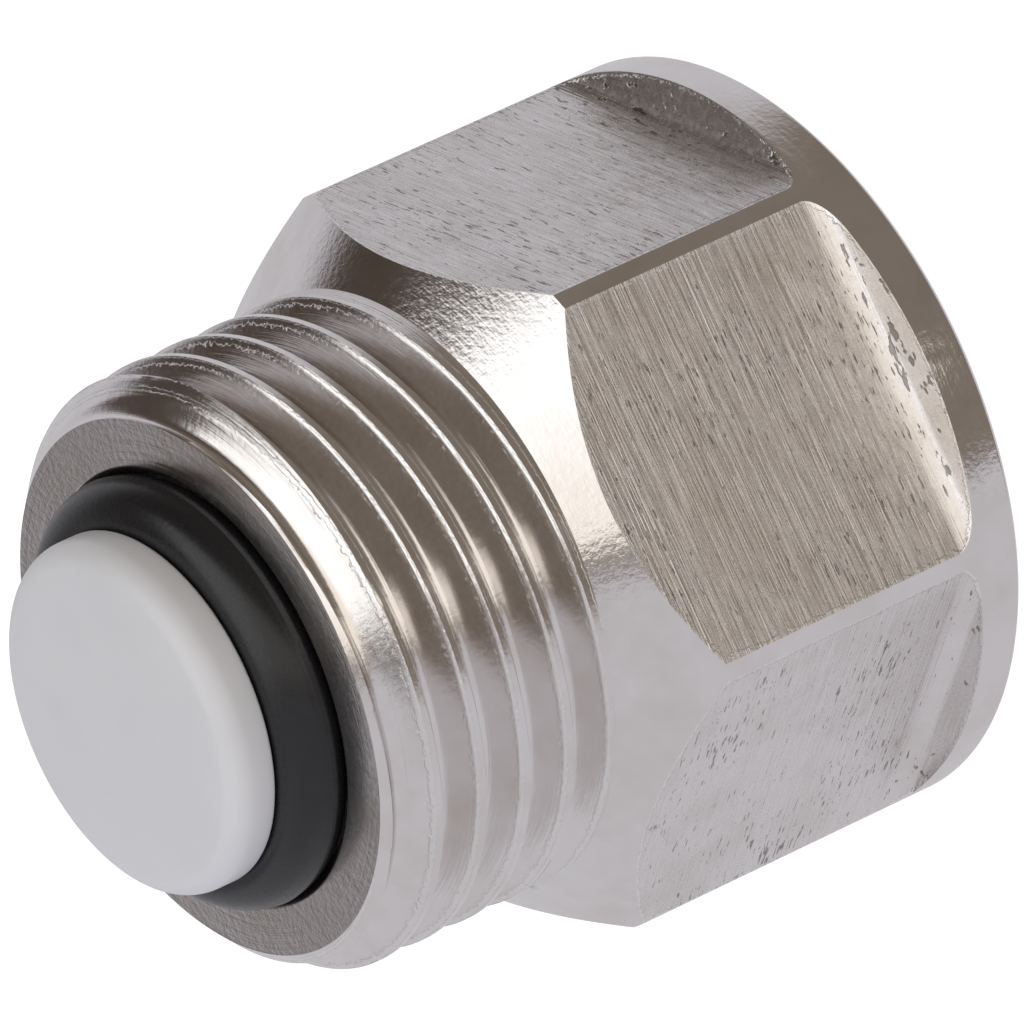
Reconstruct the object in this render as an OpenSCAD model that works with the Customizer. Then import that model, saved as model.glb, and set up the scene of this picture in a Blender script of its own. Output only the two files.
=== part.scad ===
// Non-return valve with a half inch male pipe end and a three-eighths inch
// female pipe end. It stands on its female end: Z = 0 is that face, and +Z
// runs along the axis to the male end, where the plunger closes the seat.
// All lengths are in millimetres.

/* [Body] */
// Length of the body from end face to end face
body_length = 23.9; // [23.5:0.1:27]
// Diameter of the bar that the body is turned from
bar_d = 26.2; // [25.6:0.1:27]
// Distance across two opposite spanner flats
across_flats = 23; // [22.4:0.1:24]
// Number of spanner flats
flat_count = 6; // [6:2:8]
// Height of the round collar where the flats run out
collar_height = 1.6; // [1.2:0.1:2.4]
// Radius that the milling cutter leaves where the flats run out
run_out_radius = 0.8; // [0.4:0.05:1]
// Lean of the run-out wall away from square, in degrees
run_out_lean = 8; // [2:1:14]
// Small bevel on the rim of the collar
rim_bevel = 0.2; // [0.1:0.05:0.4]
// Height at which the cone below the male thread starts
shoulder_height = 12.4; // [11.6:0.1:12.8]
// Slope of that cone away from the axis, in degrees
shoulder_angle = 45; // [42:1:50]

/* [Male thread] */
// Outer diameter of the male pipe thread
male_d = 20.955; // [20.7:0.001:21.2]
// Pitch of the male thread
male_pitch = 1.814; // [1.7:0.001:1.9]
// Depth of the male thread
male_depth = 1.162; // [1:0.001:1.2]
// Width of each crest
crest_width = 0.3; // [0.2:0.05:0.35]
// Angle between two thread flanks, in degrees
thread_angle = 55; // [50:1:56]

/* [Female end] */
// Diameter of the bore that the female thread is cut in
tapped_bore_d = 14.95; // [14.8:0.001:15.2]
// Depth of the tapped bore below the face
tapped_depth = 8.5; // [8:0.1:9]
// Diameter of the bevelled mouth and of the relief behind the thread
relief_d = 16.9; // [16.8:0.1:17.6]
// Length of the relief, which the end of a screwed-in fitting can fill
relief_length = 3.2; // [3:0.1:3.4]
// Diameter of the bore that holds the spring
spring_bore_d = 14.4; // [14.2:0.1:14.8]
// Depth of the ledge that the spring bears on
ledge_depth = 17.7; // [17.5:0.1:18.2]

/* [Seat] */
// Diameter of the throat that guides the plunger
throat_d = 11.8; // [11.6:0.1:12]
// Diameter of the seat cone at the male end face
seat_mouth_d = 15.3; // [15.1:0.1:15.6]
// Slope of the seat cone away from the axis, in degrees
seat_angle = 45; // [42:1:47]

/* [Sealing ring] */
// Thickness of the ring's round section
ring_section = 2.5; // [2.4:0.05:2.6]
// Inner diameter of the ring
ring_bore_d = 10; // [9.8:0.1:10.1]
// Gap left between the ring and the seat when the valve is shut
seat_gap = 0.05; // [0.03:0.01:0.1]
// Play between the ring and its groove
ring_play = 0.02; // [0.01:0.01:0.05]

/* [Plunger] */
// Diameter of the head
head_d = 12.3; // [12:0.1:13]
// Height of the head above the ring
head_height = 2.05; // [1.9:0.05:2.5]
// Radius of the head's outer edge
head_edge_radius = 0.9; // [0.6:0.05:1]
// Radius of the shallow crown on the head
head_crown_radius = 40; // [30:1:60]
// Radial gap between the flange below the ring and the throat
flange_gap = 0.3; // [0.25:0.05:0.4]
// Thickness of that flange
flange_thickness = 0.75; // [0.6:0.05:1]
// Radial running clearance of the guide ribs in the throat
guide_clearance = 0.08; // [0.05:0.01:0.1]
// Thickness of each guide rib
rib_thickness = 1.6; // [1.2:0.1:2]
// Diameter of the hole that splits the ribs into springy fingers
finger_split_d = 5.8; // [5:0.1:6.4]
// Length of the fingers
finger_length = 7.3; // [6.5:0.1:8]
// Gap between the tapped bore and the tips of the fingers
tip_gap = 0.2; // [0.15:0.05:0.3]
// Height of the barbs from tip to shelf
barb_height = 1.3; // [1.1:0.1:1.5]
// Height of the straight edge above each barb's ramp
barb_edge = 0.25; // [0.2:0.05:0.4]

/* [Spring] */
// Diameter of the spring wire
wire_d = 0.7; // [0.6:0.05:0.75]
// Radial gap between the guide ribs and the spring
spring_gap = 0.25; // [0.2:0.05:0.3]
// Number of turns
turns = 5; // [4.5:0.5:5.5]
// Gap between each end of the spring and its seat
spring_end_gap = 0.05; // [0.02:0.01:0.1]

/* [Hidden] */
$fn = 96;
// how far a cutting solid runs past the face that it cuts
overcut = 1;

// Body
bar_r = bar_d / 2;
flat_r = across_flats / 2;
male_r = male_d / 2;
root_r = male_r - male_depth;
flank_run = male_depth * tan(thread_angle / 2);
half_crest = crest_width / 2;
cone_top = shoulder_height + (bar_r - male_r) / tan(shoulder_angle);
first_crest = body_length - male_depth - half_crest;
last_crest = floor((first_crest - cone_top) / male_pitch);

// Female end, chamber and seat
tapped_r = tapped_bore_d / 2;
relief_r = relief_d / 2;
relief_end = tapped_depth + relief_length;
spring_bore_r = spring_bore_d / 2;
throat_r = throat_d / 2;
seat_mouth_r = seat_mouth_d / 2;
seat_bottom = body_length - (seat_mouth_r - throat_r) / tan(seat_angle);

// Sealing ring, resting on the seat cone
section_r = ring_section / 2;
ring_mid_r = ring_bore_d / 2 + section_r;
cone_at_ring = body_length - (seat_mouth_r - ring_mid_r) / tan(seat_angle);
ring_z = cone_at_ring + (section_r + seat_gap) / sin(seat_angle);

// Plunger, built up and down from its ring groove
neck_r = ring_bore_d / 2 - ring_play;
groove_low = ring_z - section_r - ring_play;
groove_high = ring_z + section_r + ring_play;
head_r = head_d / 2;
head_top = groove_high + head_height;
flange_r = throat_r - flange_gap;
flange_low = groove_low - flange_thickness;
rib_r = throat_r - guide_clearance;
tip_z = tapped_depth + tip_gap;
shelf_z = tip_z + barb_height;

// Spring, between the ledge and the shelves of the barbs
wire_r = wire_d / 2;
coil_r = rib_r + spring_gap + wire_r;
barb_r = coil_r + wire_r / 2;
spring_low = shelf_z + spring_end_gap + wire_r;
spring_high = ledge_depth - spring_end_gap - wire_r;
wire_sides = 10;
steps_per_turn = 32;

// Outline of one full thread crest, from the root below it to the root above
function crest_points(z) = [
    [root_r, z - half_crest - flank_run],
    [male_r, z - half_crest],
    [male_r, z + half_crest],
    [root_r, z + half_crest + flank_run]
];

// Crests from the cone up to the one below the end bevel
function thread_points() = [
    for (n = [last_crest:-1:0])
        let (points = crest_points(first_crest - n * male_pitch))
            for (i = [(n == last_crest ? 2 : 0):(n == 0 ? 2 : 3)]) points[i]
];

// Outside of the body before its flats are milled
module turned_bar() {
    rotate_extrude()
        polygon(concat(
            [
                [0, 0],
                [bar_r - rim_bevel, 0],
                [bar_r, rim_bevel],
                [bar_r, shoulder_height],
                [male_r, cone_top]
            ],
            thread_points(),
            [[root_r, body_length], [0, body_length]]
        ));
}

// Section of the cutter that mills one flat, with the flat at x = flat_r.
// Its round nose leaves the hollow run-out, and its wall leans to the collar.
module cutter_section() {
    nose_x = flat_r + run_out_radius;
    nose_z = collar_height
        + (run_out_radius - (nose_x - bar_r) * sin(run_out_lean)) / cos(run_out_lean);
    far_x = bar_r + overcut;
    wall_z = collar_height - overcut * tan(run_out_lean);
    translate([nose_x, nose_z])
        circle(r = run_out_radius);
    polygon([
        [flat_r, nose_z],
        [nose_x - run_out_radius * sin(run_out_lean), nose_z - run_out_radius * cos(run_out_lean)],
        [far_x, wall_z],
        [far_x, body_length + overcut],
        [flat_r, body_length + overcut]
    ]);
}

// All the spanner flats, the first one facing -Y
module flat_cutters() {
    for (i = [0:flat_count - 1])
        rotate([0, 0, i * 360 / flat_count - 90])
            rotate([90, 0, 0])
                linear_extrude(height = bar_d, center = true)
                    cutter_section();
}

// Everything that is bored out of the body, from the female face to the seat
module passage() {
    rotate_extrude()
        polygon([
            [0, -overcut],
            [relief_r + overcut, -overcut],
            [tapped_r, relief_r - tapped_r],
            [tapped_r, tapped_depth],
            [relief_r, tapped_depth + relief_r - tapped_r],
            [relief_r, relief_end],
            [spring_bore_r, relief_end],
            [spring_bore_r, ledge_depth],
            [throat_r, ledge_depth],
            [throat_r, seat_bottom],
            [seat_mouth_r, body_length],
            [seat_mouth_r, body_length + overcut],
            [0, body_length + overcut]
        ]);
}

module valve_body() {
    color("silver")
        difference() {
            turned_bar();
            flat_cutters();
            passage();
        }
}

// Half section of the head: a shallow crown that runs into a round edge
module head_section() {
    edge_x = head_r - head_edge_radius;
    crown_z = head_top - head_crown_radius;
    reach = head_crown_radius - head_edge_radius;
    edge_z = crown_z + sqrt(reach * reach - edge_x * edge_x);
    meet_x = edge_x * head_crown_radius / reach;
    intersection() {
        translate([0, crown_z])
            circle(r = head_crown_radius, $fn = 720);
        translate([0, groove_high])
            square([meet_x, head_height + overcut]);
    }
    translate([edge_x, edge_z])
        circle(r = head_edge_radius);
    translate([0, groove_high])
        square([head_r, edge_z - groove_high]);
}

// Head, ring groove and flange in one turn
module plunger_top() {
    rotate_extrude() {
        head_section();
        translate([0, flange_low])
            square([neck_r, groove_high - flange_low + head_height / 2]);
        translate([0, flange_low])
            square([flange_r, flange_thickness]);
    }
}

// Round outline of the ribs, with the ramps and shelves of their barbs
module rib_outline() {
    rotate_extrude()
        polygon([
            [0, tip_z],
            [rib_r - wire_r, tip_z],
            [barb_r, shelf_z - barb_edge],
            [barb_r, shelf_z],
            [rib_r, shelf_z],
            [rib_r, flange_low + flange_thickness / 2],
            [0, flange_low + flange_thickness / 2]
        ]);
}

// Four guide ribs, split from below into fingers that snap into the spring
module ribs() {
    difference() {
        intersection() {
            rib_outline();
            for (turn = [0, 90])
                rotate([0, 0, turn + 45])
                    translate([-bar_r, -rib_thickness / 2, 0])
                        cube([bar_d, rib_thickness, body_length]);
        }
        translate([0, 0, tip_z - overcut])
            cylinder(d = finger_split_d, h = finger_length + overcut);
    }
}

module plunger() {
    color("white") {
        plunger_top();
        ribs();
    }
}

module o_ring() {
    color("#202226")
        translate([0, 0, ring_z])
            rotate_extrude()
                translate([ring_mid_r, 0])
                    circle(r = section_r);
}

// Height of the wire's centre after t turns: the first and the last turn lie
// close against their neighbours, and the turns between share the rest
function wire_z(t) =
    let (
        closed = wire_d * 1.05,
        open = (spring_high - spring_low - 2 * closed) / (turns - 2)
    )
    spring_low + closed * min(t, 1) + open * max(min(t - 1, turns - 2), 0)
        + closed * max(t - turns + 1, 0);

// One point of the wire's skin, at turn t and angle a round the wire
function wire_point(t, a) =
    let (r = coil_r + wire_r * cos(a))
    [r * cos(360 * t), r * sin(360 * t), wire_z(t) + wire_r * sin(a)];

module spring() {
    steps = turns * steps_per_turn;
    points = [
        for (i = [0:steps], k = [0:wire_sides - 1])
            wire_point(i / steps_per_turn, k * 360 / wire_sides)
    ];
    skin = [
        for (i = [0:steps - 1], k = [0:wire_sides - 1])
            let (
                near = i * wire_sides,
                far = near + wire_sides,
                next = (k + 1) % wire_sides
            )
            [near + k, near + next, far + next, far + k]
    ];
    start_cap = [for (k = [wire_sides - 1:-1:0]) k];
    end_cap = [for (k = [0:wire_sides - 1]) steps * wire_sides + k];
    color("lightgray")
        polyhedron(points = points, faces = concat(skin, [start_cap, end_cap]));
}

valve_body();
plunger();
o_ring();
spring();
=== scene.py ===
"""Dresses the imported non-return valve for a studio picture.

The valve stands on its female end with its axis along +Z. Sizes in the classes
are millimetres and become metres when a mesh is made.
"""

import logging
from dataclasses import dataclass, field
from enum import Enum
from math import asin, atan2, cos, hypot, pi, radians, sin, sqrt, tan
from typing import Callable

import bpy
import numpy as np
from mathutils import Matrix, Vector


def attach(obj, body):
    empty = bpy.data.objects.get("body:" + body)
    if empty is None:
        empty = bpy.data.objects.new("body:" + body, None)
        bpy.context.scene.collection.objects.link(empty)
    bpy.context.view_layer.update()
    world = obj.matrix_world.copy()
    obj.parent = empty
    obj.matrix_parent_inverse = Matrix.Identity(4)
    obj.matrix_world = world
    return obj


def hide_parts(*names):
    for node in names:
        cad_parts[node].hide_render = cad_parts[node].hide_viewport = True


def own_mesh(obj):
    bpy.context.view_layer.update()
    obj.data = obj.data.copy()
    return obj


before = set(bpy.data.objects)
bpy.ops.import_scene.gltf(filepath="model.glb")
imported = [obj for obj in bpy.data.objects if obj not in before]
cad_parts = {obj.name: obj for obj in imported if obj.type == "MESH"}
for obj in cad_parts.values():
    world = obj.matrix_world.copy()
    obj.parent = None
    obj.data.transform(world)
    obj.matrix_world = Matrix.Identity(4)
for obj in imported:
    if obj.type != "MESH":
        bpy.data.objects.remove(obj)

MM = 0.001
FAR = 9.0
log = logging.getLogger("valve")

Socket = bpy.types.NodeSocket
Value = float | Socket
Colour = tuple[float, float, float]


class Zone(Enum):
    """Surface zones of the body, in the order of its material slots."""

    TURNED = 0
    FLAT = 1
    THREAD = 2
    FACE = 3
    BORE = 4


# ---------------------------------------------------------------- surfaces


def smooth_step(value: np.ndarray, low: float, high: float) -> np.ndarray:
    """Goes from 0 at low to 1 at high along 3t^2 - 2t^3."""
    share = np.clip((value - low) / (high - low), 0.0, 1.0)
    return share * share * (3.0 - 2.0 * share)


def smooth_max(first: np.ndarray, second: np.ndarray | float, blend: float) -> np.ndarray:
    """Returns the larger value, with the corner rounded where they differ by less than blend."""
    share = np.clip(0.5 + 0.5 * (first - second) / blend, 0.0, 1.0)
    return second + (first - second) * share + blend * share * (1.0 - share)


def rounded_profile(corners: list[tuple[float, float, float]], steps: int = 4,
                    margin: float = 0.04) -> np.ndarray:
    """Turns a polyline of (r, z, corner radius) into points with round corners.

    Each corner becomes an arc tangent to both sides, and a point a little before
    and after the arc keeps the flat sides flat when they are shaded smooth.

    Args:
        corners: Radius, height and corner radius of each corner, in order.
        steps: Straight pieces in each arc.
        margin: Distance from an arc to its extra points.

    Returns:
        The points as an array of (r, z).
    """
    spots = np.array([c[:2] for c in corners])
    result = [spots[0]]
    for before, here, after, (_, _, radius) in zip(spots, spots[1:], spots[2:], corners[1:-1]):
        if radius <= 0.0:
            result.append(here)
            continue
        back = (before - here) / np.linalg.norm(before - here)
        ahead = (after - here) / np.linalg.norm(after - here)
        half = 0.5 * np.arccos(np.clip(back @ ahead, -1.0, 1.0))
        reach = radius / tan(half)
        centre = here + (back + ahead) / np.linalg.norm(back + ahead) * radius / sin(half)
        start, end = here + back * reach, here + ahead * reach
        turn = pi - 2.0 * half
        share = np.linspace(0.0, 1.0, steps + 1)[:, None]
        weight_a = np.sin((1.0 - share) * turn) / sin(turn)
        weight_b = np.sin(share * turn) / sin(turn)
        arc = centre + weight_a * (start - centre) + weight_b * (end - centre)
        result += [start + back * margin, *arc, end + ahead * margin]
    result.append(spots[-1])
    return np.array(result)


def turned_grid(profile: np.ndarray, theta: np.ndarray) -> np.ndarray:
    """Carries a profile of (r, z) round the axis: x = r cos, y = r sin of each angle."""
    radius, height = profile[:, :1], profile[:, 1:]
    return np.stack([radius * np.cos(theta), radius * np.sin(theta),
                     height + 0.0 * theta], axis=-1)


@dataclass
class Skin:
    """Collects grids of points and welds them into one mesh.

    A grid's rows run along the profile and its columns round the axis, so a face
    points away from the material when the profile has the material on its left.
    """

    name: str
    grain: float = 1e-4
    points: list[np.ndarray] = field(default_factory=list)
    quads: list[np.ndarray] = field(default_factory=list)
    zones: list[np.ndarray] = field(default_factory=list)
    marks: dict[str, list[np.ndarray]] = field(default_factory=lambda: {"edge_mm": [], "lead_mm": []})
    count: int = 0

    def add_grid(self, grid: np.ndarray, zone: int = 0, edge: np.ndarray | float = FAR,
                 lead: np.ndarray | float = FAR) -> None:
        """Adds a grid of points.

        Args:
            grid: Points in millimetres, shaped (rows, columns, 3).
            zone: Material slot of its faces.
            edge: Distance of each point from a milled flat's border, negative outside it.
            lead: Distance of each point from the nearest thread crest's middle.
        """
        rows, columns = grid.shape[:2]
        index = np.arange(rows * columns).reshape(rows, columns) + self.count
        faces = np.stack([index[:-1, :-1], index[:-1, 1:], index[1:, 1:], index[1:, :-1]], axis=-1)
        self.points.append(grid.reshape(-1, 3))
        self.quads.append(faces.reshape(-1, 4))
        self.zones.append(np.full(faces.shape[0] * faces.shape[1], zone))
        self.marks["edge_mm"].append(np.broadcast_to(edge, (rows, columns)).reshape(-1))
        self.marks["lead_mm"].append(np.broadcast_to(lead, (rows, columns)).reshape(-1))
        self.count += rows * columns

    def build(self, body: str, materials: list[bpy.types.Material],
              sharp: float = radians(40.0)) -> bpy.types.Object:
        """Welds the grids and makes the object.

        Points that round to the same place become one, so a quad with two equal
        corners becomes a triangle and one with more is dropped.

        Args:
            body: The frame body that the piece rides on.
            materials: One material for each zone.
            sharp: Smallest fold that stays a crisp edge.

        Returns:
            The new object.
        """
        points = np.concatenate(self.points)
        keys = np.round(points / self.grain + 0.137).astype(np.int64)
        _, first, places = np.unique(keys, axis=0, return_index=True, return_inverse=True)
        faces = places.reshape(-1)[np.concatenate(self.quads)]
        zones = np.concatenate(self.zones)
        same = faces == np.roll(faces, -1, axis=1)
        lost = same.sum(axis=1)
        whole, cut = faces[lost == 0], faces[lost == 1][~same[lost == 1]].reshape(-1, 3)
        mesh = bpy.data.meshes.new(self.name)
        mesh.from_pydata((points[first] * MM).tolist(), [], whole.tolist() + cut.tolist())
        mesh.polygons.foreach_set("material_index",
                                  np.concatenate([zones[lost == 0], zones[lost == 1]]).astype(np.int32))
        mesh.polygons.foreach_set("use_smooth", np.ones(len(mesh.polygons), bool))
        for name, parts in self.marks.items():
            values = np.concatenate(parts)[first].astype(np.float32)
            mesh.attributes.new(name, "FLOAT", "POINT").data.foreach_set("value", values)
        mesh.set_sharp_from_angle(angle=sharp)
        self.crease_borders(mesh, np.concatenate(self.marks["edge_mm"])[first])
        for material in materials:
            mesh.materials.append(material)
        mesh.update()
        piece = bpy.data.objects.new(self.name, mesh)
        bpy.context.scene.collection.objects.link(piece)
        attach(piece, body)
        log.info("%s: %d faces", self.name, len(mesh.polygons))
        return piece

    @staticmethod
    def crease_borders(mesh: bpy.types.Mesh, edge: np.ndarray) -> None:
        """Marks the edges that lie on a milled flat's border as sharp."""
        ends = np.empty(len(mesh.edges) * 2, np.int32)
        mesh.edges.foreach_get("vertices", ends)
        sharp = np.zeros(len(mesh.edges), bool)
        layer = mesh.attributes.get("sharp_edge") or mesh.attributes.new("sharp_edge", "BOOLEAN", "EDGE")
        layer.data.foreach_get("value", sharp)
        on_border = (np.abs(edge[ends.reshape(-1, 2)]) < 1e-6).all(axis=1)
        layer.data.foreach_set("value", sharp | on_border)


# ---------------------------------------------------------------- shader parts


class Board:
    """A node tree with short calls that add a node and return its output."""

    def __init__(self, tree: bpy.types.NodeTree) -> None:
        """Keeps the tree and empties it."""
        self.tree = tree
        tree.nodes.clear()

    def add(self, kind: str, inputs: dict | None = None, **settings) -> bpy.types.Node:
        """Adds a node, sets its options, and fills or wires its inputs.

        Args:
            kind: Node type without the ShaderNode prefix, or a full type name.
            inputs: Value or socket for each input, by name or number.
            settings: Options of the node.

        Returns:
            The node.
        """
        node = self.tree.nodes.new(kind if kind.startswith(("Node", "Shader")) else "ShaderNode" + kind)
        for key, value in settings.items():
            setattr(node, key, value)
        for key, value in (inputs or {}).items():
            if isinstance(value, Socket):
                self.tree.links.new(value, node.inputs[key])
            else:
                node.inputs[key].default_value = value
        return node

    def math(self, operation: str, first: Value, second: Value = 0.0, clamp: bool = False) -> Socket:
        """Adds a Math node and returns its value."""
        return self.add("Math", {0: first, 1: second}, operation=operation, use_clamp=clamp).outputs[0]

    def remap(self, value: Value, low: Value, high: Value, to_low: Value = 0.0, to_high: Value = 1.0,
              smooth: bool = False) -> Socket:
        """Maps a value from one range to another, held at the ends."""
        kind = "SMOOTHSTEP" if smooth else "LINEAR"
        return self.add("MapRange", {0: value, 1: low, 2: high, 3: to_low, 4: to_high},
                        interpolation_type=kind).outputs[0]

    def noise(self, vector: Socket, scale: Value, detail: float = 2.0, rough: float = 0.5) -> Socket:
        """Adds a Noise texture and returns its value."""
        return self.add("TexNoise", {"Vector": vector, "Scale": scale, "Detail": detail,
                                     "Roughness": rough}).outputs[0]

    def stretch(self, vector: Socket, scale: tuple[float, float, float]) -> Socket:
        """Scales a vector's three parts by fixed numbers."""
        return self.add("VectorMath", {0: vector, 1: scale}, operation="MULTIPLY").outputs[0]

    def blend(self, share: Value, first: Socket | tuple, second: Socket | tuple) -> Socket:
        """Mixes two colours."""
        pair = [(*c, 1.0) if isinstance(c, tuple) and len(c) == 3 else c for c in (first, second)]
        return self.add("Mix", {0: share, 6: pair[0], 7: pair[1]}, data_type="RGBA").outputs[2]

    def dot(self, vector: Socket, direction: tuple[float, float, float]) -> Socket:
        """Returns the dot product with a fixed direction."""
        return self.add("VectorMath", {0: vector, 1: direction}, operation="DOT_PRODUCT").outputs[1]


@dataclass
class MarkGroups:
    """The shader groups that finishes share, each made once."""

    trees: dict[str, bpy.types.NodeTree] = field(default_factory=dict)

    def make(self, name: str, inputs: dict[str, float | None], outputs: tuple[str, ...],
             draw: Callable[[Board, dict[str, Socket]], dict[str, Socket]]) -> bpy.types.NodeTree:
        """Makes a group on first use.

        Args:
            name: The group's name.
            inputs: Start value of each number input, or None for a vector.
            outputs: Names of its number outputs.
            draw: Wires the group from its inputs and returns a socket for each output.

        Returns:
            The group's tree.
        """
        if name in self.trees:
            return self.trees[name]
        tree = bpy.data.node_groups.new(name, "ShaderNodeTree")
        for label, start in inputs.items():
            kind = "NodeSocketVector" if start is None else "NodeSocketFloat"
            socket = tree.interface.new_socket(label, in_out="INPUT", socket_type=kind)
            if start is not None:
                socket.default_value = start
        for label in outputs:
            tree.interface.new_socket(label, in_out="OUTPUT", socket_type="NodeSocketFloat")
        board = Board(tree)
        entry = board.add("NodeGroupInput")
        made = draw(board, {label: entry.outputs[label] for label in inputs})
        board.add("NodeGroupOutput", made)
        self.trees[name] = tree
        return tree

    def turning_marks(self) -> bpy.types.NodeTree:
        """Fine rings left by a turning tool, drawn out round the axis and fine along the profile."""
        def draw(board: Board, entry: dict[str, Socket]) -> dict[str, Socket]:
            part = board.add("SeparateXYZ", {0: entry["Place"]}).outputs
            radius = board.math("SQRT", board.math("ADD", board.math("MULTIPLY", part[0], part[0]),
                                                   board.math("MULTIPLY", part[1], part[1])))
            along = board.math("MULTIPLY", board.math("SUBTRACT", part[2], radius), entry["Fineness"])
            drawn = board.add("CombineXYZ", {0: board.math("MULTIPLY", part[0], 0.10),
                                             1: board.math("MULTIPLY", part[1], 0.10), 2: along}).outputs[0]
            rings = board.noise(drawn, 1.0, 3.0, 0.7)
            return {"Height": rings, "Tone": board.remap(rings, 0.35, 0.65)}
        return self.make("turning_marks", {"Place": None, "Fineness": 6.0}, ("Height", "Tone"), draw)

    def milling_marks(self) -> bpy.types.NodeTree:
        """Long streaks across the axis from a milling cutter, with short dark scratches."""
        def draw(board: Board, entry: dict[str, Socket]) -> dict[str, Socket]:
            place = entry["Place"]
            streak = board.noise(board.stretch(place, (0.045, 0.045, 7.0)), 1.0, 3.0, 0.75)
            hair = board.noise(board.stretch(place, (0.30, 0.30, 22.0)), 1.0, 2.0, 0.7)
            height = board.math("ADD", streak, board.math("MULTIPLY", hair, 0.45))
            cut = board.noise(board.stretch(place, (1.3, 1.3, 9.0)), 1.0, 2.0, 0.6)
            area = board.noise(board.stretch(place, (0.25, 0.25, 0.3)), 1.0, 0.0, 0.5)
            limit = board.remap(area, 0.35, 0.65, 0.68, 0.60)
            scratch = board.remap(board.math("SUBTRACT", cut, limit), 0.0, 0.04)
            return {"Height": height, "Scratch": scratch, "Tone": board.remap(streak, 0.3, 0.7)}
        return self.make("milling_marks", {"Place": None}, ("Height", "Scratch", "Tone"), draw)

    def orange_peel(self) -> bpy.types.NodeTree:
        """The pebbled skin of plating."""
        def draw(board: Board, entry: dict[str, Socket]) -> dict[str, Socket]:
            soft = board.noise(entry["Place"], board.math("DIVIDE", 1.0, entry["Cell"]), 2.0, 0.6)
            return {"Height": soft, "Tone": board.remap(soft, 0.3, 0.7)}
        return self.make("orange_peel", {"Place": None, "Cell": 0.4}, ("Height", "Tone"), draw)

    def torn_edge(self) -> bpy.types.NodeTree:
        """A ragged line where a distance is near zero, its width broken by noise."""
        def draw(board: Board, entry: dict[str, Socket]) -> dict[str, Socket]:
            tear = board.noise(entry["Place"], 5.0, 3.0, 0.65)
            width = board.math("MULTIPLY", entry["Width"], board.remap(tear, 0.3, 0.7, 0.1, 1.6))
            inside = board.math("SUBTRACT", 1.0, board.math("DIVIDE", board.math("ABSOLUTE", entry["Distance"]),
                                                            width), clamp=True)
            return {"Mask": board.remap(inside, 0.0, 0.35)}
        return self.make("torn_edge", {"Place": None, "Distance": 1.0, "Width": 0.15}, ("Mask",), draw)

    def specks(self) -> bpy.types.NodeTree:
        """Separate small specks: cells of which only a few are filled."""
        def draw(board: Board, entry: dict[str, Socket]) -> dict[str, Socket]:
            cell = board.add("TexVoronoi", {"Vector": entry["Place"],
                                            "Scale": board.math("DIVIDE", 1.0, entry["Spacing"])})
            pick = board.add("SeparateXYZ", {0: cell.outputs["Color"]}).outputs
            chosen = board.math("LESS_THAN", pick[0], entry["Share"])
            size = board.math("MULTIPLY", entry["Size"], board.remap(pick[1], 0.0, 1.0, 0.4, 1.2))
            near = board.math("LESS_THAN", cell.outputs["Distance"], size)
            return {"Mask": board.math("MULTIPLY", chosen, near)}
        return self.make("specks", {"Place": None, "Spacing": 0.8, "Share": 0.1, "Size": 0.06}, ("Mask",), draw)


GROUPS = MarkGroups()


def start_material(name: str) -> tuple[bpy.types.Material, Board, Socket, bpy.types.Node]:
    """Starts a material with a shader and an output.

    Args:
        name: The material's name.

    Returns:
        The material, its board, the Object place in millimetres, and the Principled shader.
    """
    material = bpy.data.materials.new(name)
    material.use_nodes = True
    board = Board(material.node_tree)
    shader = board.add("BsdfPrincipled")
    board.add("OutputMaterial", {"Surface": shader.outputs[0]})
    place = board.stretch(board.add("TexCoord").outputs["Object"], (1000.0, 1000.0, 1000.0))
    return material, board, place, shader


def use_group(board: Board, tree: bpy.types.NodeTree, inputs: dict) -> bpy.types.Node:
    """Places a shader group and fills its inputs."""
    node = board.add("Group", node_tree=tree)
    for key, value in inputs.items():
        if isinstance(value, Socket):
            board.tree.links.new(value, node.inputs[key])
        else:
            node.inputs[key].default_value = value
    return node


# ---------------------------------------------------------------- finishes


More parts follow.
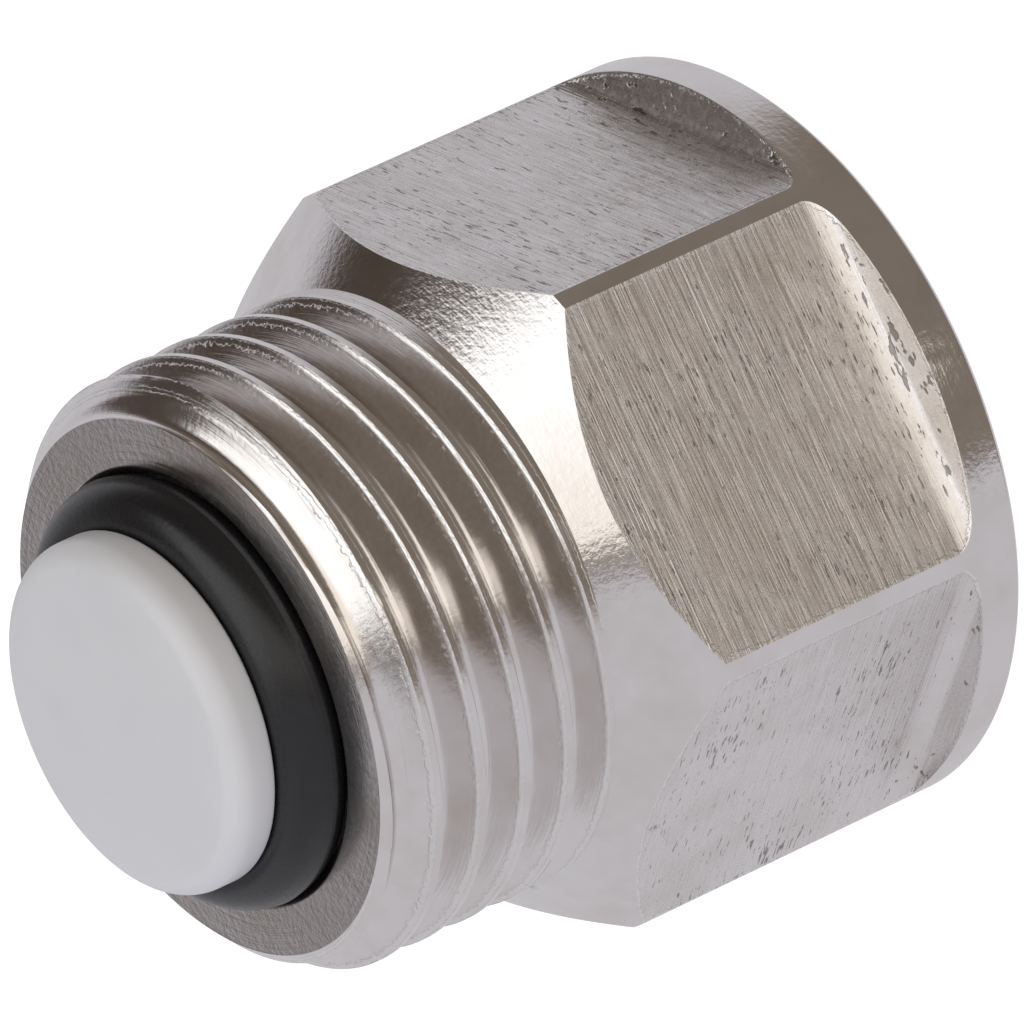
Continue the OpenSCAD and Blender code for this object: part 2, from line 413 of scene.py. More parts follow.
@dataclass(frozen=True)
class PlateFinish:
    """Bright nickel plate over machined brass; the numbers say how each zone was cut."""

    name: str
    colour: Colour = (0.80, 0.775, 0.765)
    stain: Colour = (0.60, 0.54, 0.47)
    stain_share: float = 0.35
    roughness: float = 0.17
    peel: float = 0.5
    peel_cell: float = 0.22
    turning: float = 0.5
    turning_fineness: float = 6.0
    milling: float = 0.0
    border: float = 0.0
    crest: float = 0.0
    bump_distance: float = 12e-6

    def build(self) -> bpy.types.Material:
        """Makes the material.

        The height under the plate is a sum of peel, turning and milling marks; stains
        tint the colour, and borders and crests get a raised burr and a painted edge highlight, a lighter colour.

        Returns:
            The material.
        """
        material, board, place, shader = start_material(self.name)
        peel = use_group(board, GROUPS.orange_peel(), {"Place": place, "Cell": self.peel_cell})
        turned = use_group(board, GROUPS.turning_marks(), {"Place": place, "Fineness": self.turning_fineness})
        height = board.math("ADD", board.math("MULTIPLY", peel.outputs["Height"], self.peel),
                            board.math("MULTIPLY", turned.outputs["Height"], self.turning))
        stain = board.remap(board.noise(place, 0.35, 3.0, 0.6), 0.42, 0.72, 0.0, self.stain_share)
        colour = board.blend(stain, self.colour, self.stain)
        rough = board.remap(peel.outputs["Tone"], 0.0, 1.0, self.roughness * 0.85, self.roughness * 1.15)
        if self.milling > 0.0:
            milled = use_group(board, GROUPS.milling_marks(), {"Place": place})
            height = board.math("ADD", height, board.math("MULTIPLY", milled.outputs["Height"], self.milling))
            height = board.math("SUBTRACT", height,
                                board.math("MULTIPLY", milled.outputs["Scratch"], 0.5 * self.milling))
            colour = board.blend(board.math("MULTIPLY", milled.outputs["Scratch"], 0.75), colour,
                                 (0.16, 0.13, 0.11))
        # Painted edge highlight: a near-white colour along each milled flat's border, over a raised burr in the
        # height.
        if self.border > 0.0:
            edge = board.add("Attribute", attribute_name="edge_mm").outputs["Fac"]
            torn = use_group(board, GROUPS.torn_edge(), {"Place": place, "Distance": edge,
                                                         "Width": self.border}).outputs["Mask"]
            height = board.math("ADD", height, board.math("MULTIPLY", torn, 1.5))
            colour = board.blend(board.math("MULTIPLY", torn, 0.6), colour, (0.92, 0.91, 0.89))
        # Painted edge highlight: a lighter colour along the thread crests' edges, over a raised burr in the
        # height.
        if self.crest > 0.0:
            lead = board.add("Attribute", attribute_name="lead_mm").outputs["Fac"]
            rim = board.math("SUBTRACT", lead, 0.19)
            torn = use_group(board, GROUPS.torn_edge(), {"Place": place, "Distance": rim,
                                                         "Width": self.crest}).outputs["Mask"]
            height = board.math("ADD", height, board.math("MULTIPLY", torn, 1.0))
            colour = board.blend(board.math("MULTIPLY", torn, 0.4), colour, (0.86, 0.85, 0.84))
        bump = board.add("Bump", {"Height": height, "Distance": self.bump_distance, "Strength": 1.0})
        for key, value in {"Base Color": colour, "Roughness": rough, "Normal": bump.outputs[0]}.items():
            board.tree.links.new(value, shader.inputs[key])
        shader.inputs["Metallic"].default_value = 1.0
        return material


@dataclass(frozen=True)
class PlasticFinish:
    """Smooth white moulded plastic with faint clouding and a few specks."""

    name: str = "white_plastic_skin"
    colour: Colour = (0.80, 0.815, 0.85)
    cloud: Colour = (0.74, 0.76, 0.80)
    speck: Colour = (0.45, 0.44, 0.45)
    roughness: float = 0.42

    def build(self) -> bpy.types.Material:
        """Makes the material."""
        material, board, place, shader = start_material(self.name)
        cloud = board.remap(board.noise(place, 0.22, 3.0, 0.55), 0.4, 0.75, 0.0, 0.6)
        specks = use_group(board, GROUPS.specks(), {"Place": place, "Spacing": 1.3, "Share": 0.10,
                                                    "Size": 0.035}).outputs["Mask"]
        colour = board.blend(cloud, self.colour, self.cloud)
        colour = board.blend(board.math("MULTIPLY", specks, 0.5), colour, self.speck)
        grain = board.noise(place, 6.0, 3.0, 0.6)
        rough = board.remap(grain, 0.3, 0.7, self.roughness * 0.9, self.roughness * 1.1)
        bump = board.add("Bump", {"Height": board.noise(place, 1.6, 4.0, 0.55), "Distance": 4e-6})
        for key, value in {"Base Color": colour, "Roughness": rough, "Normal": bump.outputs[0]}.items():
            board.tree.links.new(value, shader.inputs[key])
        shader.inputs["Subsurface Weight"].default_value = 0.15
        shader.inputs["Subsurface Radius"].default_value = (1.0, 0.9, 0.8)
        shader.inputs["Subsurface Scale"].default_value = 0.001
        return material


@dataclass(frozen=True)
class RubberFinish:
    """Black satin rubber with fine grain and dust."""

    name: str = "ring_rubber_skin"
    colour: Colour = (0.010, 0.010, 0.012)
    dust: Colour = (0.42, 0.42, 0.44)
    roughness: float = 0.30

    def build(self) -> bpy.types.Material:
        """Makes the material."""
        material, board, place, shader = start_material(self.name)
        dust = use_group(board, GROUPS.specks(), {"Place": place, "Spacing": 0.45, "Share": 0.06,
                                                  "Size": 0.045}).outputs["Mask"]
        smear = board.remap(board.noise(place, 0.8, 4.0, 0.6), 0.55, 0.8, 0.0, 0.25)
        colour = board.blend(smear, self.colour, (0.030, 0.030, 0.034))
        colour = board.blend(board.math("MULTIPLY", dust, 0.6), colour, self.dust)
        grain = board.noise(place, 9.0, 3.0, 0.6)
        rough = board.remap(grain, 0.3, 0.7, self.roughness * 0.8, self.roughness * 1.25)
        bump = board.add("Bump", {"Height": board.noise(place, 5.0, 3.0, 0.6), "Distance": 5e-6})
        for key, value in {"Base Color": colour, "Roughness": rough, "Normal": bump.outputs[0]}.items():
            board.tree.links.new(value, shader.inputs[key])
        shader.inputs["Specular IOR Level"].default_value = 0.5
        return material


@dataclass(frozen=True)
class WireFinish:
    """Drawn stainless spring wire."""

    name: str = "spring_wire_skin"
    colour: Colour = (0.60, 0.59, 0.57)
    roughness: float = 0.24

    def build(self) -> bpy.types.Material:
        """Makes the material."""
        material, board, place, shader = start_material(self.name)
        drawn = board.noise(board.stretch(place, (0.5, 0.5, 14.0)), 1.0, 3.0, 0.6)
        colour = board.blend(board.remap(drawn, 0.4, 0.7, 0.0, 0.5), self.colour, (0.40, 0.38, 0.35))
        rough = board.remap(drawn, 0.3, 0.7, self.roughness * 0.8, self.roughness * 1.3)
        bump = board.add("Bump", {"Height": drawn, "Distance": 4e-6})
        for key, value in {"Base Color": colour, "Roughness": rough, "Normal": bump.outputs[0]}.items():
            board.tree.links.new(value, shader.inputs[key])
        shader.inputs["Metallic"].default_value = 1.0
        return material


# ---------------------------------------------------------------- the body


@dataclass(frozen=True)
class ThreadForm:
    """A single-start right-hand thread.

    Its groove's depth follows a quarter sine from the crest's edge to the root, so
    the valley is round and the crest's edge firm.
    """

    pitch: float
    depth: float
    crest_width: float
    front_crest: float
    rows: int
    runout: float | None = None
    runout_rise: float = 0.35
    edge_blend: float = 0.06

    def depth_at(self, offset: np.ndarray) -> np.ndarray:
        """Returns the groove's depth at an axial distance from the crest's middle."""
        half = 0.5 * self.crest_width
        share = (np.abs(offset) - half) / (0.5 * self.pitch - half)
        return smooth_max(self.depth * np.sin(0.5 * pi * np.clip(share, -0.3, 1.0)), 0.0, self.edge_blend)

    def cut(self, theta: np.ndarray, height: np.ndarray) -> tuple[np.ndarray, np.ndarray]:
        """Works out the groove over a surface.

        The crest's middle climbs one pitch a turn from its height at the front. Near
        the run-out the groove's middle height sets how much of the depth is left.

        Args:
            theta: Angle of each point.
            height: Height of each point.

        Returns:
            Depth of the groove, and distance from the nearest crest's middle.
        """
        turns = (height - self.front_crest) / self.pitch - (theta + 0.5 * pi) / (2.0 * pi)
        offset = (turns - np.round(turns)) * self.pitch
        depth = self.depth_at(offset)
        if self.runout is not None:
            middle = self.front_crest + self.pitch * ((theta + 0.5 * pi) / (2.0 * pi) + np.floor(turns) + 0.5)
            depth = depth * smooth_step(middle, self.runout, self.runout + self.runout_rise)
        return depth, np.abs(offset)

    def heights(self, theta: np.ndarray, low: float, high: float) -> np.ndarray:
        """Returns rows of heights that follow the helix, held between low and high.

        Rows are spread evenly along the groove's outline. One turn on, a row meets
        the row one pitch up, so the grid closes on itself.

        Args:
            theta: Angles of the columns, one full turn from the front.
            low: Lowest height.
            high: Highest height.

        Returns:
            Heights shaped (rows, columns).
        """
        offset = np.linspace(-0.5, 0.5, 801) * self.pitch
        outline = self.depth_at(offset)
        length = np.concatenate([[0.0], np.cumsum(np.hypot(np.diff(offset), np.diff(outline)))])
        phase = np.interp(np.arange(self.rows) / self.rows * length[-1], length, offset / self.pitch)
        first = int(np.floor((low - self.front_crest) / self.pitch)) - 2
        last = int(np.ceil((high - self.front_crest) / self.pitch)) + 1
        level = (np.arange(first, last + 1)[:, None] + phase[None, :]).reshape(-1, 1)
        rows = self.front_crest + self.pitch * (level + (theta[None, :] + 0.5 * pi) / (2.0 * pi))
        rows = np.clip(rows, low, high)
        used = (rows.max(axis=1) > low) & (rows.min(axis=1) < high)
        keep = np.flatnonzero(used)
        rows = rows[keep[0]:keep[-1] + 1]
        return np.concatenate([np.full((1, theta.size), low), rows, np.full((1, theta.size), high)])


@dataclass
class ValveBody:
    """The plated brass body, one closed skin from the female mouth round to the bore."""

    length: float = 23.9
    bar_radius: float = 13.1
    flat_distance: float = 11.5
    flat_count: int = 6
    collar_height: float = 1.6
    cutter_radius: float = 0.8
    cutter_lean: float = radians(8.0)
    rim_bevel: float = 0.2
    shoulder: float = 12.4
    thread_radius: float = 10.4775
    thread_root: float = 9.3155
    mouth_radius: float = 8.45
    tapped_radius: float = 7.475
    tapped_end: float = 8.5
    relief_end: float = 11.7
    spring_bore: float = 7.2
    ledge: float = 17.7
    throat: float = 5.9
    seat_mouth: float = 7.65
    sector_columns: int = 36
    male: ThreadForm = ThreadForm(pitch=1.814, depth=1.162, crest_width=0.30, front_crest=22.562,
                                  rows=28, runout=15.62)
    female: ThreadForm = ThreadForm(pitch=1.337, depth=0.856, crest_width=0.22, front_crest=0.4, rows=12)

    def angles(self) -> np.ndarray:
        """Angles of the columns, one turn from the front flat's middle."""
        return -0.5 * pi + np.linspace(0.0, 2.0 * pi, self.flat_count * self.sector_columns + 1)

    def outer_radius(self, height: np.ndarray) -> np.ndarray:
        """Radius of the turned bar and its cone at a height."""
        return self.bar_radius - np.maximum(height - self.shoulder, 0.0)

    def cutter_rows(self) -> np.ndarray:
        """Works out the milled section as rows of (height, distance from the axis, length).

        From the collar it runs down a leaning wall, round the cutter's nose and up
        the flat to the cone. Rows are spread evenly across the flat's half width
        near both ends, where that width shrinks to nothing.

        Returns:
            Rows of height, distance and length along the section.
        """
        bar, flat, nose, lean = self.bar_radius, self.flat_distance, self.cutter_radius, self.cutter_lean
        touch_distance = flat + nose - nose * sin(lean)
        slope = tan(lean)
        touch_height = self.collar_height + (bar - touch_distance) * slope
        centre_height = touch_height + nose * cos(lean)
        width = np.linspace(0.0, sqrt(bar ** 2 - touch_distance ** 2), 10)
        wall = np.sqrt(bar ** 2 - width ** 2)
        rows = [np.stack([self.collar_height + (bar - wall) * slope, wall], axis=1)]
        swing = np.linspace(-0.5 * pi - lean, -pi, 12)[1:]
        rows.append(np.stack([centre_height + nose * np.sin(swing), flat + nose + nose * np.cos(swing)], axis=1))
        rows.append(np.stack([np.linspace(centre_height, self.shoulder, 9)[1:], np.full(8, flat)], axis=1))
        width = np.linspace(sqrt(bar ** 2 - flat ** 2), 0.0, 20)[1:]
        rows.append(np.stack([self.shoulder + bar - np.sqrt(flat ** 2 + width ** 2),
                              np.full(width.size, flat)], axis=1))
        section = np.concatenate(rows)
        run = np.concatenate([[0.0], np.cumsum(np.hypot(*np.diff(section, axis=0).T))])
        return np.column_stack([section, run])

    def add_flats(self, skin: Skin) -> None:
        """Adds the six milled flats and the turned strips between them.

        On a flat, a row lies at its distance from the axis and spans the chord of
        the bar there; on a strip, the row spans the arc from one chord to the next.
        """
        height, distance, run = self.cutter_rows().T[:, :, None]
        radius = self.outer_radius(height)
        chord = np.sqrt(np.maximum(radius ** 2 - distance ** 2, 0.0))
        chord[[0, -1]] = 0.0
        spread = np.arctan2(chord, distance)
        share = np.linspace(-1.0, 1.0, self.sector_columns + 1)[None, :]
        growth = np.abs(np.gradient(chord[:, 0], run[:, 0]))[:, None]
        to_side = chord * (1.0 - np.abs(share)) / np.sqrt(1.0 + growth ** 2)
        inside = np.minimum(to_side, np.minimum(run, run[-1] - run))
        inside[:, [0, -1]] = 0.0
        for number in range(self.flat_count):
            facing = -0.5 * pi + number * 2.0 * pi / self.flat_count
            across = chord * share
            skin.add_grid(np.stack([distance * cos(facing) - across * sin(facing),
                                    distance * sin(facing) + across * cos(facing),
                                    height + 0.0 * share], axis=-1), Zone.FLAT.value, edge=inside)
            start, end = facing + spread, facing + 2.0 * pi / self.flat_count - spread
            step = np.linspace(0.0, 1.0, self.sector_columns + 1)[None, :]
            theta = start + (end - start) * step
            outside = -np.minimum(theta - start, end - theta) * radius
            skin.add_grid(np.stack([radius * np.cos(theta), radius * np.sin(theta),
                                    height + 0.0 * theta], axis=-1), Zone.TURNED.value, edge=outside)

    def add_thread(self, skin: Skin) -> None:
        """Adds the male thread from the cone to the end of its chamfer.

        The radius is the crest's radius or the chamfer's, whichever is smaller, less
        the groove's depth below the crest.
        """
        theta = self.angles()
        cone_top = self.shoulder + self.bar_radius - self.thread_radius
        chamfer_start = self.length - (self.thread_radius - self.thread_root)
        for low, high in ((cone_top, chamfer_start), (chamfer_start, self.length)):
            height = self.male.heights(theta, low, high)
            depth, lead = self.male.cut(theta[None, :], height)
            depth = depth * smooth_step(height, cone_top, cone_top + 0.2)
            radius = np.minimum(self.thread_radius - depth,
                                self.thread_radius - np.maximum(height - chamfer_start, 0.0))
            radius = np.maximum(radius, self.thread_root)
            skin.add_grid(np.stack([radius * np.cos(theta), radius * np.sin(theta), height], axis=-1),
                          Zone.THREAD.value, lead=lead)

    def add_tapped_bore(self, skin: Skin) -> None:
        """Adds the female thread with its mouth chamfer and the taper to the relief.

        The radius is the largest of the mouth's cone, the taper and the groove.
        """
        theta = self.angles()
        taper_end = self.tapped_end + self.mouth_radius - self.tapped_radius
        height = self.female.heights(theta, 0.0, taper_end)[::-1]
        depth, lead = self.female.cut(theta[None, :], height)
        radius = np.maximum.reduce([self.mouth_radius - height, self.tapped_radius + height - self.tapped_end,
                                    self.tapped_radius + depth])
        skin.add_grid(np.stack([radius * np.cos(theta), radius * np.sin(theta), height], axis=-1),
                      Zone.BORE.value, lead=lead)

    def build(self, finishes: list[PlateFinish]) -> bpy.types.Object:
        """Builds the skin and dresses it.

        Args:
            finishes: One finish for each zone.

        Returns:
            The body.
        """
        skin = Skin("valve_body_plated")
        theta = self.angles()
        bar, cone_top = self.bar_radius, self.shoulder + self.bar_radius - self.thread_radius
        waist = self.shoulder + bar - self.flat_distance
        rim = self.rim_bevel
        foot = rounded_profile([(self.mouth_radius, 0.0, 0.0), (bar - rim, 0.0, 0.10), (bar, rim, 0.10),
                                (bar, self.collar_height, 0.0)])
        skin.add_grid(turned_grid(foot, theta), Zone.TURNED.value)
        cone = np.array([(self.flat_distance, waist), (0.5 * (self.flat_distance + self.thread_radius),
                                                      0.5 * (waist + cone_top)),
                         (self.thread_radius, cone_top)])
        skin.add_grid(turned_grid(cone, theta), Zone.TURNED.value)
        self.add_flats(skin)
        self.add_thread(skin)
        seat_foot = self.length - (self.seat_mouth - self.throat)
        nose = rounded_profile([(self.thread_root, self.length, 0.0),
                                (self.seat_mouth, self.length, 0.12), (self.throat, seat_foot, 0.15),
                                (self.throat, self.ledge, 0.05), (self.spring_bore, self.ledge, 0.15),
                                (self.spring_bore, self.relief_end, 0.05),
                                (self.mouth_radius, self.relief_end, 0.0)])
        rows = int(np.flatnonzero(nose[:, 1] < seat_foot - 0.3)[0])
        skin.add_grid(turned_grid(nose[:rows], theta), Zone.FACE.value)
        lower = np.concatenate([nose[rows - 1:], [[self.mouth_radius,
                                                   self.tapped_end + self.mouth_radius - self.tapped_radius]]])
        skin.add_grid(turned_grid(lower, theta), Zone.BORE.value)
        self.add_tapped_bore(skin)
        piece = skin.build("valve_body", [finish.build() for finish in finishes])
        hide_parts("valve_body")
        return piece


# ---------------------------------------------------------------- the moving parts


@dataclass
class Plunger:
    """The white plastic plunger: head, ring groove, flange, guide ribs and snap fingers."""

    head_radius: float = 6.15
    head_top: float = 27.6585
    head_height: float = 2.05
    edge_radius: float = 0.9
    crown_radius: float = 40.0
    neck_radius: float = 4.98
    flange_radius: float = 5.6
    flange_top: float = 23.0685
    flange_foot: float = 22.3185
    rib_radius: float = 5.82
    rib_thickness: float = 1.6
    split_radius: float = 2.9
    split_top: float = 16.0
    tip: float = 8.7
    shelf: float = 10.0
    barb_radius: float = 6.595
    barb_edge: float = 0.25
    tip_radius: float = 5.47
    columns: int = 192

    def head_profile(self) -> np.ndarray:
        """Returns the turned outline from the flange's foot to the crown's middle.

        The crown is a large circle whose middle lies on the axis, and the head's
        edge is a quarter round that meets it.
        """
        drop = self.crown_radius - sqrt(self.crown_radius ** 2 - (self.head_radius - self.edge_radius) ** 2)
        head_foot = self.head_top - self.head_height
        lower = rounded_profile([(self.flange_radius - 0.4, self.flange_foot, 0.0),
                                 (self.flange_radius, self.flange_foot, 0.08),
                                 (self.flange_radius, self.flange_top, 0.08),
                                 (self.neck_radius, self.flange_top, 0.06),
                                 (self.neck_radius, head_foot, 0.06),
                                 (self.head_radius, head_foot, 0.12),
                                 (self.head_radius, self.head_top - drop - self.edge_radius, 0.0)])
        turn = np.linspace(0.0, 0.5 * pi - asin((self.head_radius - self.edge_radius) / self.crown_radius), 14)
        centre = (self.head_radius - self.edge_radius, self.head_top - drop - self.edge_radius)
        edge = np.stack([centre[0] + self.edge_radius * np.cos(turn),
                         centre[1] + self.edge_radius * np.sin(turn)], axis=1)[1:]
        reach = np.linspace(edge[-1, 0], 0.0, 14)[1:]
        crown = np.stack([reach, edge[-1, 1] - sqrt(self.crown_radius ** 2 - edge[-1, 0] ** 2)
                          + np.sqrt(self.crown_radius ** 2 - reach ** 2)], axis=1)
        return np.concatenate([lower, edge, crown])

    def cross_radius(self, theta: np.ndarray) -> np.ndarray:
        """Radius of the ribs' cross-shaped outline at an angle.

        Near a rib it is the rib's round end or flank, whichever is nearer, and
        between two ribs it is the nearer flank.
        """
        off = (theta - 0.25 * pi + 0.25 * pi) % (0.5 * pi) - 0.25 * pi
        flank = 0.5 * self.rib_thickness / np.maximum(np.abs(np.sin(off)), 1e-6)
        return np.minimum(self.rib_radius, flank)

    def rib_angles(self) -> np.ndarray:
        """Angles of the columns, gathered at the ribs' corners."""
        corner = asin(0.5 * self.rib_thickness / self.rib_radius)
        quarter = np.concatenate([np.linspace(-0.25 * pi, -corner, 14)[:-1], np.linspace(-corner, corner, 9)[:-1],
                                  np.linspace(corner, 0.25 * pi, 14)[:-1]])
        return np.concatenate([quarter + 0.25 * pi + k * 0.5 * pi for k in range(4)] + [[2.0 * pi]])

    def add_cross(self, skin: Skin) -> None:
        """Adds the flange's underside, the ribs and their foot at the split's roof."""
        theta = self.rib_angles()
        outline = self.cross_radius(theta)
        rows = [(self.flange_radius - 0.4, self.flange_foot, 0.0), (0.0, self.flange_foot, 1.0),
                (0.0, self.split_top, 1.0), (0.0, self.split_top, 0.0)]
        grid = [np.stack([(ring + outline * share) * np.cos(theta), (ring + outline * share) * np.sin(theta),
                          np.full(theta.size, height)], axis=-1) for ring, height, share in rows]
        skin.add_grid(np.stack(grid)[::-1])

    def add_finger(self, skin: Skin, facing: float) -> None:
        """Adds one snap finger.

        Its side outline is carried across the rib's thickness; each point's distance
        along the rib is the leg of a right triangle on its radius, so the ends are round.

        Args:
            skin: The skin to add to.
            facing: Angle that the finger points to.
        """
        outline = rounded_profile([
            (self.split_radius, self.split_top + 0.05, 0.0), (self.split_radius, self.tip, 0.15),
            (self.tip_radius, self.tip, 0.2), (self.barb_radius, self.shelf - self.barb_edge, 0.08),
            (self.barb_radius, self.shelf, 0.05), (self.rib_radius, self.shelf, 0.1),
            (self.rib_radius, self.split_top + 0.05, 0.0), (self.split_radius, self.split_top + 0.05, 0.0)])
        half = 0.5 * self.rib_thickness
        across = np.concatenate([[-half], np.linspace(-half, half, 9), [half]])[None, :]
        radius, height = outline[:, :1].copy(), outline[:, 1:]
        along = np.sqrt(radius ** 2 - across ** 2)
        grid = np.stack([along * cos(facing) - across * sin(facing),
                         along * sin(facing) + across * cos(facing), height + 0.0 * across], axis=-1)
        middle = np.array([cos(facing), sin(facing)]) * 0.5 * (self.split_radius + self.rib_radius)
        for column, side in ((0, -half), (-1, half)):
            grid[:, column, 0] = middle[0] - side * sin(facing)
            grid[:, column, 1] = middle[1] + side * cos(facing)
            grid[:, column, 2] = np.clip(grid[:, column, 2], self.shelf + 0.4, self.split_top - 0.4)
        skin.add_grid(grid)

    def build(self, finish: PlasticFinish) -> bpy.types.Object:
        """Builds the plunger and dresses it."""
        skin = Skin("plunger_moulding")
        theta = np.linspace(0.0, 2.0 * pi, self.columns + 1)
        skin.add_grid(turned_grid(self.head_profile(), self.rib_angles()))
        self.add_cross(skin)
        for number in range(4):
            self.add_finger(skin, 0.25 * pi + number * 0.5 * pi)
        piece = skin.build("plunger", [finish.build()])
        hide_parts("plunger")
        return piece


@dataclass
class SealingRing:
    """The black rubber ring with its two fine moulding lines."""

    middle_radius: float = 6.25
    section_radius: float = 1.25
    height: float = 24.3385
    line_height: float = 0.02
    line_width: float = 0.05
    columns: int = 256
    rows: int = 72

    def build(self, finish: RubberFinish) -> bpy.types.Object:
        """Builds the ring.

        The section is a circle with a small ridge, a bell curve, at its outermost
        and innermost point, carried round the axis.

        Args:
            finish: The rubber.

        Returns:
            The ring.
        """
        spin = np.linspace(0.0, 2.0 * pi, self.rows + 1)
        spin = spin - 0.30 * np.sin(2.0 * spin)
        arc = self.section_radius * np.abs(np.sin(spin))
        section = self.section_radius - self.line_height + self.line_height * np.exp(-(arc / self.line_width) ** 2)
        profile = np.stack([self.middle_radius + section * np.cos(spin), self.height + section * np.sin(spin)],
                           axis=1)
        skin = Skin("sealing_ring")
        skin.add_grid(turned_grid(profile, np.linspace(0.0, 2.0 * pi, self.columns + 1)))
        piece = skin.build("plunger", [finish.build()])
        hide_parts("o_ring")
        return piece


@dataclass
class ReturnSpring:
    """The wire spring between the body's ledge and the finger barbs."""

    wire: float = 0.7
    coil_radius: float = 6.42
    foot: float = 10.4
    top: float = 17.3
    turns: float = 5.0
    closed_rise: float = 0.735
    steps: int = 60
    sides: int = 14
    rest_gap: float = 7.7
    travel: float = 3.0

    def build(self, finish: WireFinish) -> bpy.types.Object:
        """Builds the spring.

        The wire's middle climbs the closed rise over the first and last turn and
        evenly between them; a circle is carried along it and closed at both ends.

        Args:
            finish: The wire.

        Returns:
            The spring.
        """
        turn = np.linspace(0.0, self.turns, int(self.turns * self.steps) + 1)
        climb = self.top - self.foot - 2.0 * self.closed_rise
        height = self.foot + np.interp(turn, [0.0, 1.0, self.turns - 1.0, self.turns],
                                       [0.0, self.closed_rise, self.closed_rise + climb, self.top - self.foot])
        angle = turn * 2.0 * pi
        path = np.stack([self.coil_radius * np.cos(angle), self.coil_radius * np.sin(angle), height], axis=1)
        along = np.gradient(path, axis=0)
        along /= np.linalg.norm(along, axis=1, keepdims=True)
        outward = np.stack([np.cos(angle), np.sin(angle), 0.0 * angle], axis=1)
        upward = np.cross(along, outward)
        around = np.linspace(0.0, 2.0 * pi, self.sides + 1)[None, :, None]
        tube = path[:, None] + 0.5 * self.wire * (np.cos(around) * outward[:, None]
                                                  + np.sin(around) * upward[:, None])
        ends = [np.repeat(path[k][None, None], self.sides + 1, axis=1) for k in (0, -1)]
        skin = Skin("return_spring")
        skin.add_grid(np.concatenate([ends[0], tube, ends[1]])[::-1])
        piece = skin.build("valve_body", [finish.build()])
        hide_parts("spring")
        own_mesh(piece)
        return piece


# ---------------------------------------------------------------- the studio


@dataclass(frozen=True)
class PhotoCamera:
    """A long lens at the photograph's angle; distances in millimetres, angles in radians."""

    azimuth: float = 0.0119
    elevation: float = 0.5551
    roll: float = -2.0029
    distance: float = 584.3962
    right_offset: float = -3.1783
    up_offset: float = -2.4744
    focal_pixels: float = 17923.33
    picture_pixels: float = 1024.0
    target_height: float = 14.871
    sensor: float = 36.0

    def axes(self) -> tuple[Vector, Vector, Vector]:
        """Returns the camera's right, up and backward directions."""
        back = Vector((sin(self.azimuth) * cos(self.elevation), -cos(self.azimuth) * cos(self.elevation),
                       sin(self.elevation)))
        level = Vector((0.0, 0.0, 1.0)).cross(back).normalized()
        rise = back.cross(level)
        right = cos(self.roll) * level + sin(self.roll) * rise
        return right, -sin(self.roll) * level + cos(self.roll) * rise, back

    def build(self) -> bpy.types.Object:
        """Makes the camera and makes it the scene's."""
        right, rise, back = self.axes()
        spot = (Vector((0.0, 0.0, self.target_height)) - right * self.right_offset
                - rise * self.up_offset + back * self.distance) * MM
        data = bpy.data.cameras.new("photo_camera")
        data.sensor_width = self.sensor
        data.lens = self.focal_pixels * self.sensor / self.picture_pixels
        data.clip_start, data.clip_end = 0.05, 20.0
        camera = bpy.data.objects.new("photo_camera", data)
        camera.matrix_world = Matrix.Translation(spot) @ Matrix((right, rise, back)).transposed().to_4x4()
        bpy.context.scene.collection.objects.link(camera)
        bpy.context.scene.camera = camera
        return camera


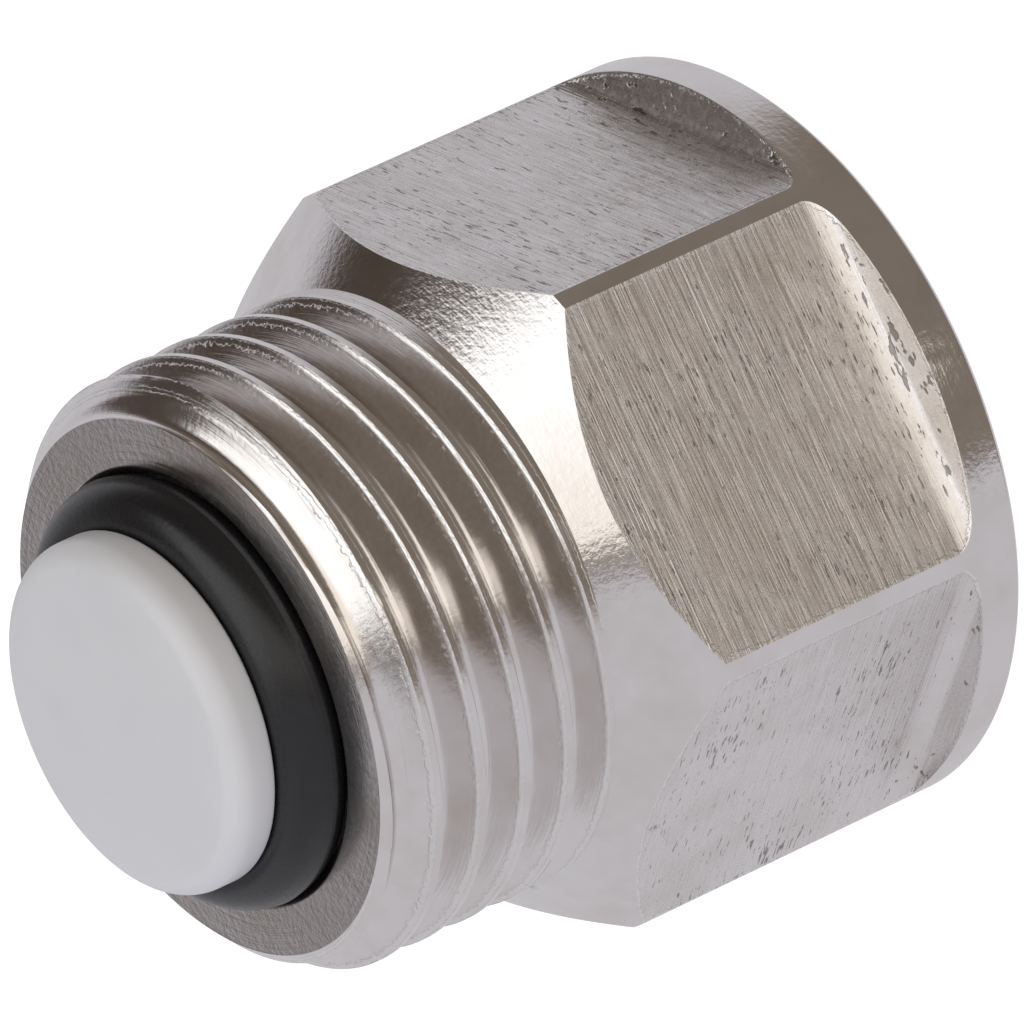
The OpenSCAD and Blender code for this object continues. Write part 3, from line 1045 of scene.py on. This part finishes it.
@dataclass(frozen=True)
class Studio:
    """A pale floor, pale surroundings, a dim room on one side and a long white window in front.

    The surroundings are laid out by direction, along the camera's first right, up
    and backward axes.
    """

    pale: Colour = (0.61, 0.60, 0.635)
    dim_side: Colour = (0.070, 0.052, 0.042)
    dim_top: Colour = (0.22, 0.185, 0.155)
    window_cool: Colour = (1.42, 1.42, 1.42)
    window_warm: Colour = (1.14, 1.06, 0.97)
    sill_height: float = 0.30
    sill_slope: float = 0.28
    lintel_height: float = 0.66
    lintel_slope: float = 0.40
    lintel_least: float = 0.44
    floor_size: float = 3.0
    floor_glow: float = 0.93

    def build(self, camera: PhotoCamera) -> None:
        """Builds the world and the floor, laid out from the camera's first directions."""
        self.build_world(camera)
        self.build_floor()

    def build_world(self, camera: PhotoCamera) -> None:
        """Paints the surroundings by direction.

        A slanted sill line parts the pale table below from what stands above it: the
        white window in front, warm to the right, and the dim room beside and above
        it. Behind the valve all is pale.

        Args:
            camera: Gives the directions that the room is laid out from.
        """
        right, rise, back = camera.axes()
        world = bpy.data.worlds.new("studio")
        world.use_nodes = True
        bpy.context.scene.world = world
        board = Board(world.node_tree)
        ray = board.add("TexCoord").outputs["Generated"]
        up, side, near = board.dot(ray, rise[:]), board.dot(ray, right[:]), board.dot(ray, back[:])
        over_sill = board.math("ADD", up, board.math("SUBTRACT", self.sill_height,
                                                     board.math("MULTIPLY", side, self.sill_slope)))
        lintel = board.math("MAXIMUM", self.lintel_least,
                            board.math("SUBTRACT", self.lintel_height,
                                       board.math("MULTIPLY", side, self.lintel_slope)))
        window = board.remap(over_sill, 0.03, 0.08, smooth=True)
        for value, low, high, start, end in (
                (board.math("SUBTRACT", over_sill, lintel), -0.04, 0.04, 1.0, 0.0),
                (near, 0.02, 0.20, 0.0, 1.0), (side, 0.74, 0.82, 1.0, 0.0)):
            window = board.math("MULTIPLY", window, board.remap(value, low, high, start, end, smooth=True))
        lean = board.math("MULTIPLY", board.math("MINIMUM", side, 0.0), 0.25)
        behind = board.remap(board.math("SUBTRACT", near, lean), -0.42, -0.16, 1.0, 0.0, smooth=True)
        below = board.remap(over_sill, -0.09, -0.03, 1.0, 0.0, smooth=True)
        colour = board.blend(board.remap(side, -0.9, 0.0, smooth=True), self.dim_side, self.dim_top)
        colour = board.blend(board.math("MAXIMUM", behind, below), colour, self.pale)
        light = board.blend(board.remap(side, -0.65, -0.30, smooth=True), self.window_cool, self.window_warm)
        colour = board.blend(window, colour, light)
        is_camera = board.add("LightPath").outputs["Is Camera Ray"]
        colour = board.blend(is_camera, colour, (1.0, 1.0, 1.0))
        background = board.add("Background", {"Color": colour, "Strength": 1.0})
        board.add("OutputWorld", {"Surface": background.outputs[0]})

    def build_floor(self) -> None:
        """Lays the floor: a pale matt sheet that glows to the camera and keeps a soft shadow."""
        half = 0.5 * self.floor_size
        mesh = bpy.data.meshes.new("studio_floor")
        mesh.from_pydata([(-half, -half, -2e-5), (half, -half, -2e-5), (half, half, -2e-5), (-half, half, -2e-5)],
                         [], [(0, 1, 2, 3)])
        material = bpy.data.materials.new("pale_floor")
        material.use_nodes = True
        board = Board(material.node_tree)
        matt = board.add("BsdfDiffuse", {"Color": (0.30, 0.30, 0.30, 1.0)})
        glow = board.add("Emission", {"Color": (1.0, 1.0, 1.0, 1.0), "Strength": self.floor_glow})
        both = board.add("AddShader", {0: matt.outputs[0], 1: glow.outputs[0]})
        board.add("OutputMaterial", {"Surface": both.outputs[0]})
        mesh.materials.append(material)
        floor = bpy.data.objects.new("studio_floor", mesh)
        bpy.context.scene.collection.objects.link(floor)
        for kind in ("diffuse", "glossy", "transmission", "shadow"):
            setattr(floor, "visible_" + kind, False)


def main() -> None:
    """Builds the studio and every piece."""
    logging.basicConfig(level=logging.INFO, format="%(name)s %(message)s")
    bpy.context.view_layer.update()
    scene = bpy.context.scene
    scene.view_settings.view_transform = "Standard"
    camera = PhotoCamera()
    camera.build()
    Studio().build(camera)
    ValveBody().build([
        PlateFinish("plate_turned", roughness=0.16, peel=0.9, turning=0.35),
        PlateFinish("plate_milled", roughness=0.26, peel=0.3, turning=0.0, milling=3.0, border=0.16),
        PlateFinish("plate_thread", roughness=0.17, peel=0.5, turning=0.8, turning_fineness=9.0, crest=0.07),
        PlateFinish("plate_face", roughness=0.22, peel=0.6, turning=0.6),
        PlateFinish("plate_bore", roughness=0.25, peel=0.3, turning=0.8, stain_share=0.6)])
    Plunger().build(PlasticFinish())
    SealingRing().build(RubberFinish())
    ReturnSpring().build(WireFinish())


if __name__ == "__main__":
    main()
